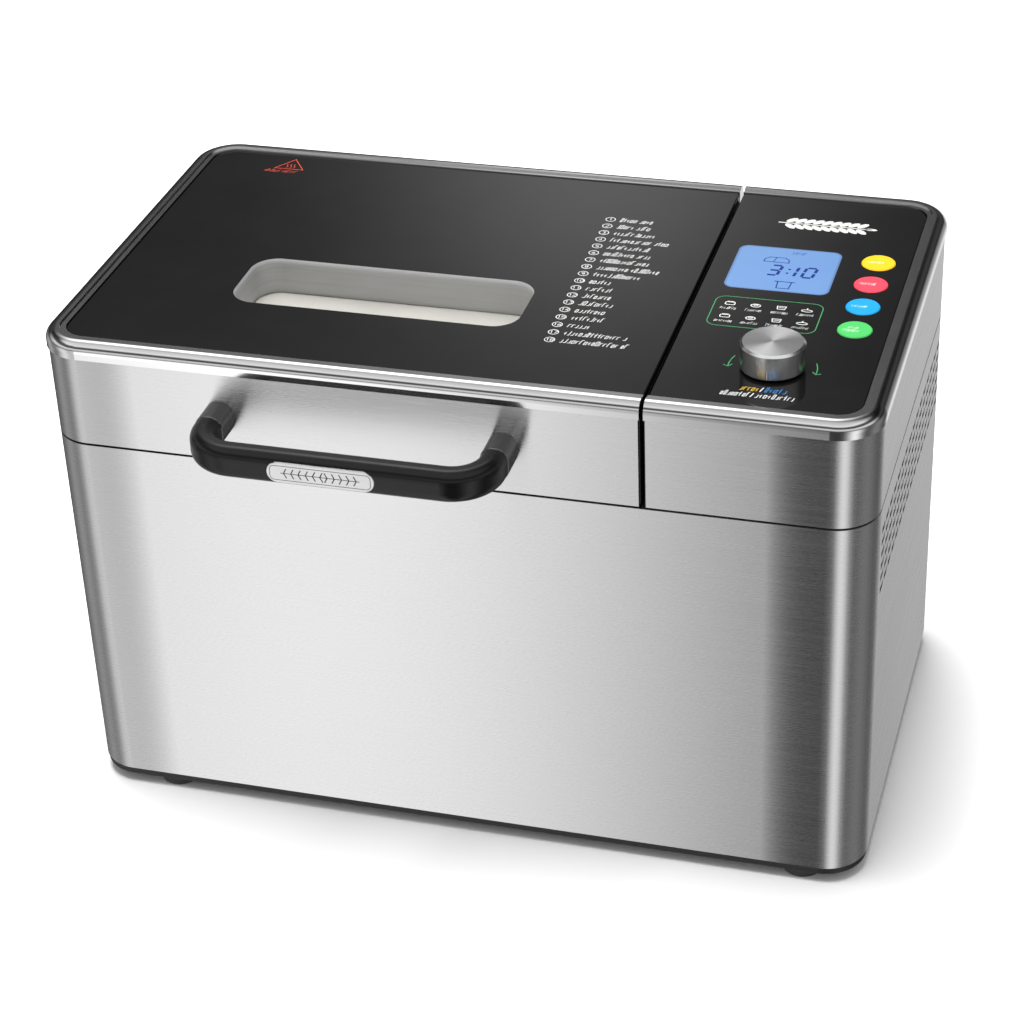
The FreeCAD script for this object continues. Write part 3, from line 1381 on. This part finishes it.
def make_hinge_brackets():
    """The fixed halves of the hinges, on the back of the housing."""
    shapes = []
    y, z, eye = float(axle_y), float(axle_z), float(d["hinge_eye"])
    skin = float(back)
    arm = float(d["hinge_arm"]) / 2 + float(d["hinge_side_gap"])
    wide = arm + float(d["hinge_cheek"])
    for x in hinge_middles():
        plate = block(x - wide, x + wide, skin, skin + float(d["hinge_plate"]), z - 28, z - 8)
        shape = plate
        for a, b in ((x - wide, x - arm), (x + arm, x + wide)):
            corners = [(skin, z - 28), (skin, z - 6), (y - eye, z - 3), (y - eye, z), (y + eye, z),
                       (y + eye, z - 6), (skin + 3, z - 24)]
            outline = Part.makePolygon([Vector(a, py, pz) for py, pz in corners + corners[:1]])
            cheek = Part.Face(outline).extrude(Vector(b - a, 0, 0))
            shape = shape.fuse(cheek).fuse(rod_x(y, z, a, b, eye))
        bore = rod_x(y, z, x - wide - 1, x + wide + 1, d["hinge_pin"] + d["hinge_play"])
        shapes.append(shape.cut(bore).removeSplitter())
    return keep(feature_of("hinge_brackets", solids_of(shapes)))


def make_hinge_arms():
    """The moving halves of the hinges, on the back of the lid."""
    shapes = []
    y, z, eye = float(axle_y), float(axle_z), float(d["hinge_eye"])
    skin = float(back)
    arm = float(d["hinge_arm"]) / 2
    for x in hinge_middles():
        corners = [(skin, z + 30), (skin, z + 6), (y - eye, z), (y + eye, z), (y + eye, z + 6),
                   (skin + 3, z + 30)]
        outline = Part.makePolygon([Vector(x - arm, py, pz) for py, pz in corners + corners[:1]])
        shape = Part.Face(outline).extrude(Vector(2 * arm, 0, 0))
        shape = shape.fuse(rod_x(y, z, x - arm, x + arm, eye))
        bore = rod_x(y, z, x - arm - 1, x + arm + 1, d["hinge_pin"] + d["hinge_play"])
        shapes.append(shape.cut(bore).removeSplitter())
    return keep(feature_of("hinge_arms", solids_of(shapes)))


def make_hinge_pins():
    """The two hinge pins."""
    reach = float(d["hinge_arm"]) / 2 + float(d["hinge_side_gap"]) + float(d["hinge_cheek"])
    shapes = [rod_x(axle_y, axle_z, x - reach, x + reach, d["hinge_pin"]) for x in hinge_middles()]
    return keep(feature_of("hinge_pins", solids_of(shapes)))


# ----------------------------------------------------------------- levels used by several pieces
heater_z = d["chamber_floor"] + d["heater_rise"]
heater_end = Size(13, "13")
sensor_x = Size(45, "45")
sensor_z = d["chamber_floor"] + 55
seat_radius = 30.4
foot_ring = 26.4
bail_lean = 11.3
pivot_z = pan_top - d["bail_pivot_drop"]
dog_low = d["chamber_floor"] + 3.3
driven_low = d["pan_bottom"] - 5.2
shaft_low = steel_low + 4.5
motor_shaft = 2.5
motor_low = belt_top + 7
power_low = steel_low + 7
power_x = Size(138, "138")
power_y = half_depth - d["power_inset"]
plunger_radius = 5.2
key_stem_low = board_top + 3.4


def build():
    """Makes every piece in order, from the ground up."""
    make_feet()
    make_base()
    make_housing()
    make_rear_cover()
    make_cover_screws()
    make_gland()
    make_deck()
    make_chamber()
    make_heater()
    make_heater_clips()
    make_sensor()
    make_pan_seat()
    make_pan()
    make_pan_foot()
    make_pan_bush()
    make_bail()
    make_paddle()
    make_paddle_shaft()
    make_drive_dog()
    make_drive_shaft()
    make_bearing()
    make_drive_pulley()
    make_motor_pulley()
    make_belt()
    make_motor_case()
    make_motor_rotor()
    make_motor_bracket()
    make_power_board()
    make_power_parts()
    make_skirt("head_skirt", False)
    make_rim("head_rim", False)
    make_head_glass()
    make_head_frame()
    make_display()
    make_control_board()
    make_key_switches()
    for number, (x, y) in enumerate(key_spots(), start=1):
        make_key(number, x, y)
    make_encoder()
    make_plunger()
    make_dial_shaft()
    make_dial()
    make_skirt("lid_skirt", True)
    make_rim("lid_rim", True)
    make_lid_glass()
    make_lid_frame()
    make_lining()
    make_pane()
    make_collar()
    make_seal()
    make_posts()
    make_grip()
    make_plate()
    make_hinge_brackets()
    make_hinge_arms()
    make_hinge_pins()


def check():
    """Stops if any object failed or any piece is not a sound solid."""
    doc.recompute()
    for item in doc.Objects:
        if "Invalid" in item.State or "Error" in item.State:
            raise RuntimeError("%s: %s" % (item.Label, item.State))
    for item in pieces:
        if item.Shape.isNull() or not item.Shape.isValid() or not item.Shape.Solids:
            raise RuntimeError("%s is not a sound solid" % item.Label)


def write():
    """Writes one STEP file for each piece."""
    os.makedirs("parts", exist_ok=True)
    for item in pieces:
        item.Shape.exportStep("parts/%s.step" % item.Label)
        box = item.Shape.BoundBox
        print("%-20s %2d solid  x %7.1f %7.1f  y %7.1f %7.1f  z %7.1f %7.1f" % (
            item.Label, len(item.Shape.Solids), box.XMin, box.XMax, box.YMin, box.YMax, box.ZMin,
            box.ZMax))


build()
check()
write()
